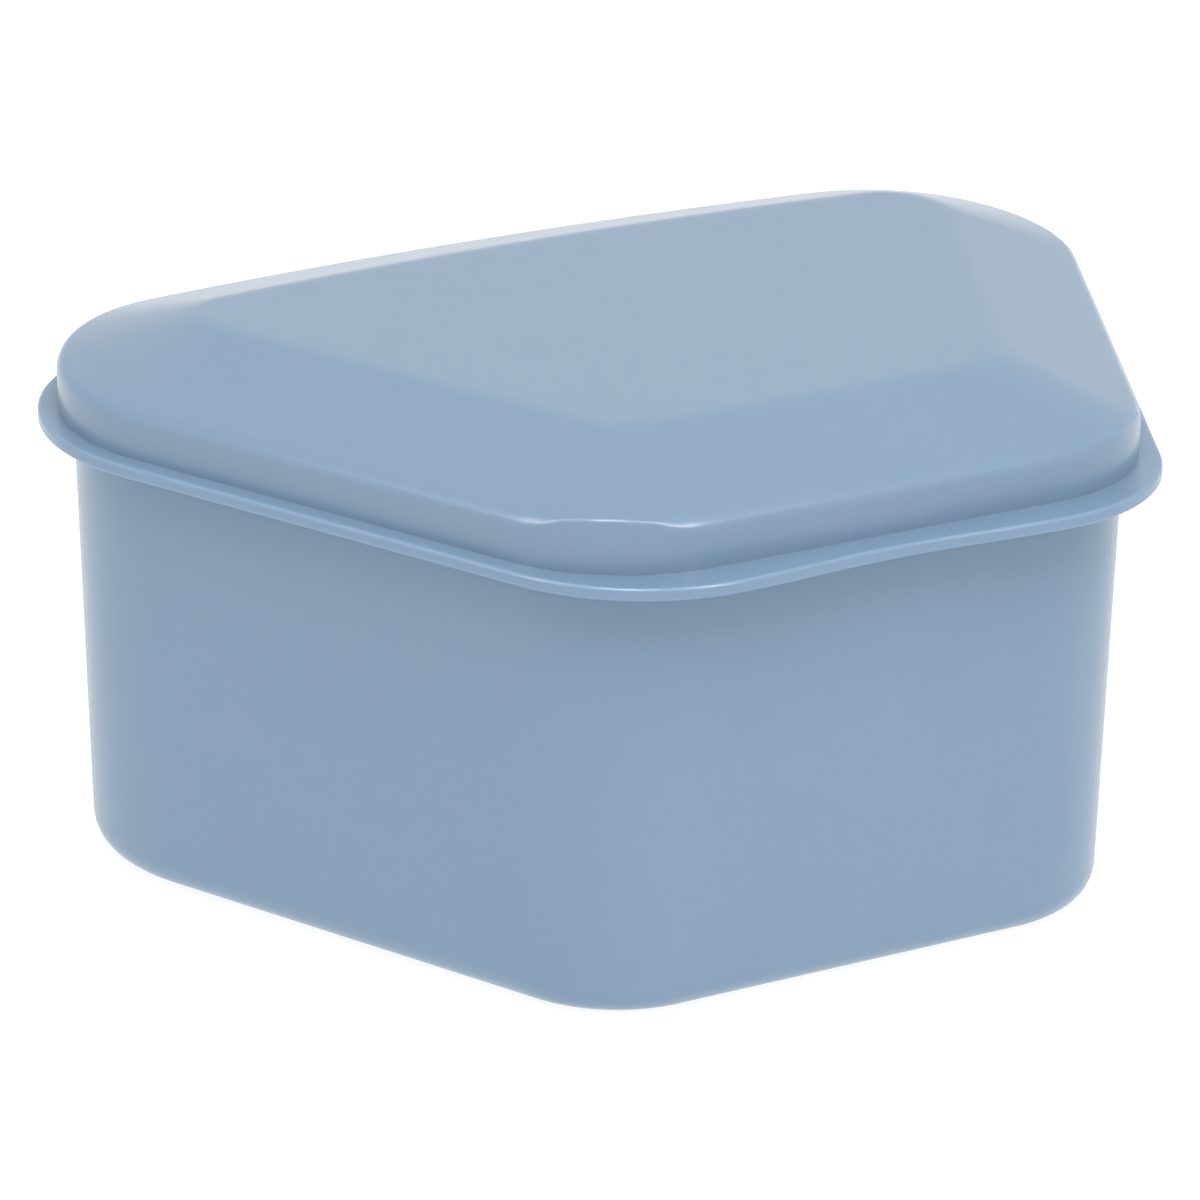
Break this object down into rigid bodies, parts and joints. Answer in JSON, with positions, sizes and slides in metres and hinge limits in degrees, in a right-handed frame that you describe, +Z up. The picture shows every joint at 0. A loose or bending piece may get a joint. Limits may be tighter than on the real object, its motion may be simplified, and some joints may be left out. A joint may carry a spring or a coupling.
{
  "type": "denture case",
  "caption": "Denture case: a tub with a rounded trapezoid outline under a lift-off lid with a facetted roof, a skirt and a finger flange.",
  "frame": {"origin": "centre of the footprint's bounding box, on the plane that the tub stands on", "axes": "+Z up, +Y from the short front side to the long back side, +X along the long back side"},
  "size_m": [0.1052, 0.081, 0.0512],
  "materials": {
    "tub_plastic": "satin moulded polypropylene, dusty pale blue",
    "lid_plastic": "semi-gloss moulded polypropylene, dusty pale blue"
  },
  "bodies": {
    "tub": {"tub": "tub_plastic"},
    "lid": {"lid": "lid_plastic"}
  },
  "joints": [
    {"name": "lid_lift", "type": "slide", "parent": "tub", "child": "lid", "axis": [0, 0, 1], "range_m": [0, 0.06]}
  ]
}
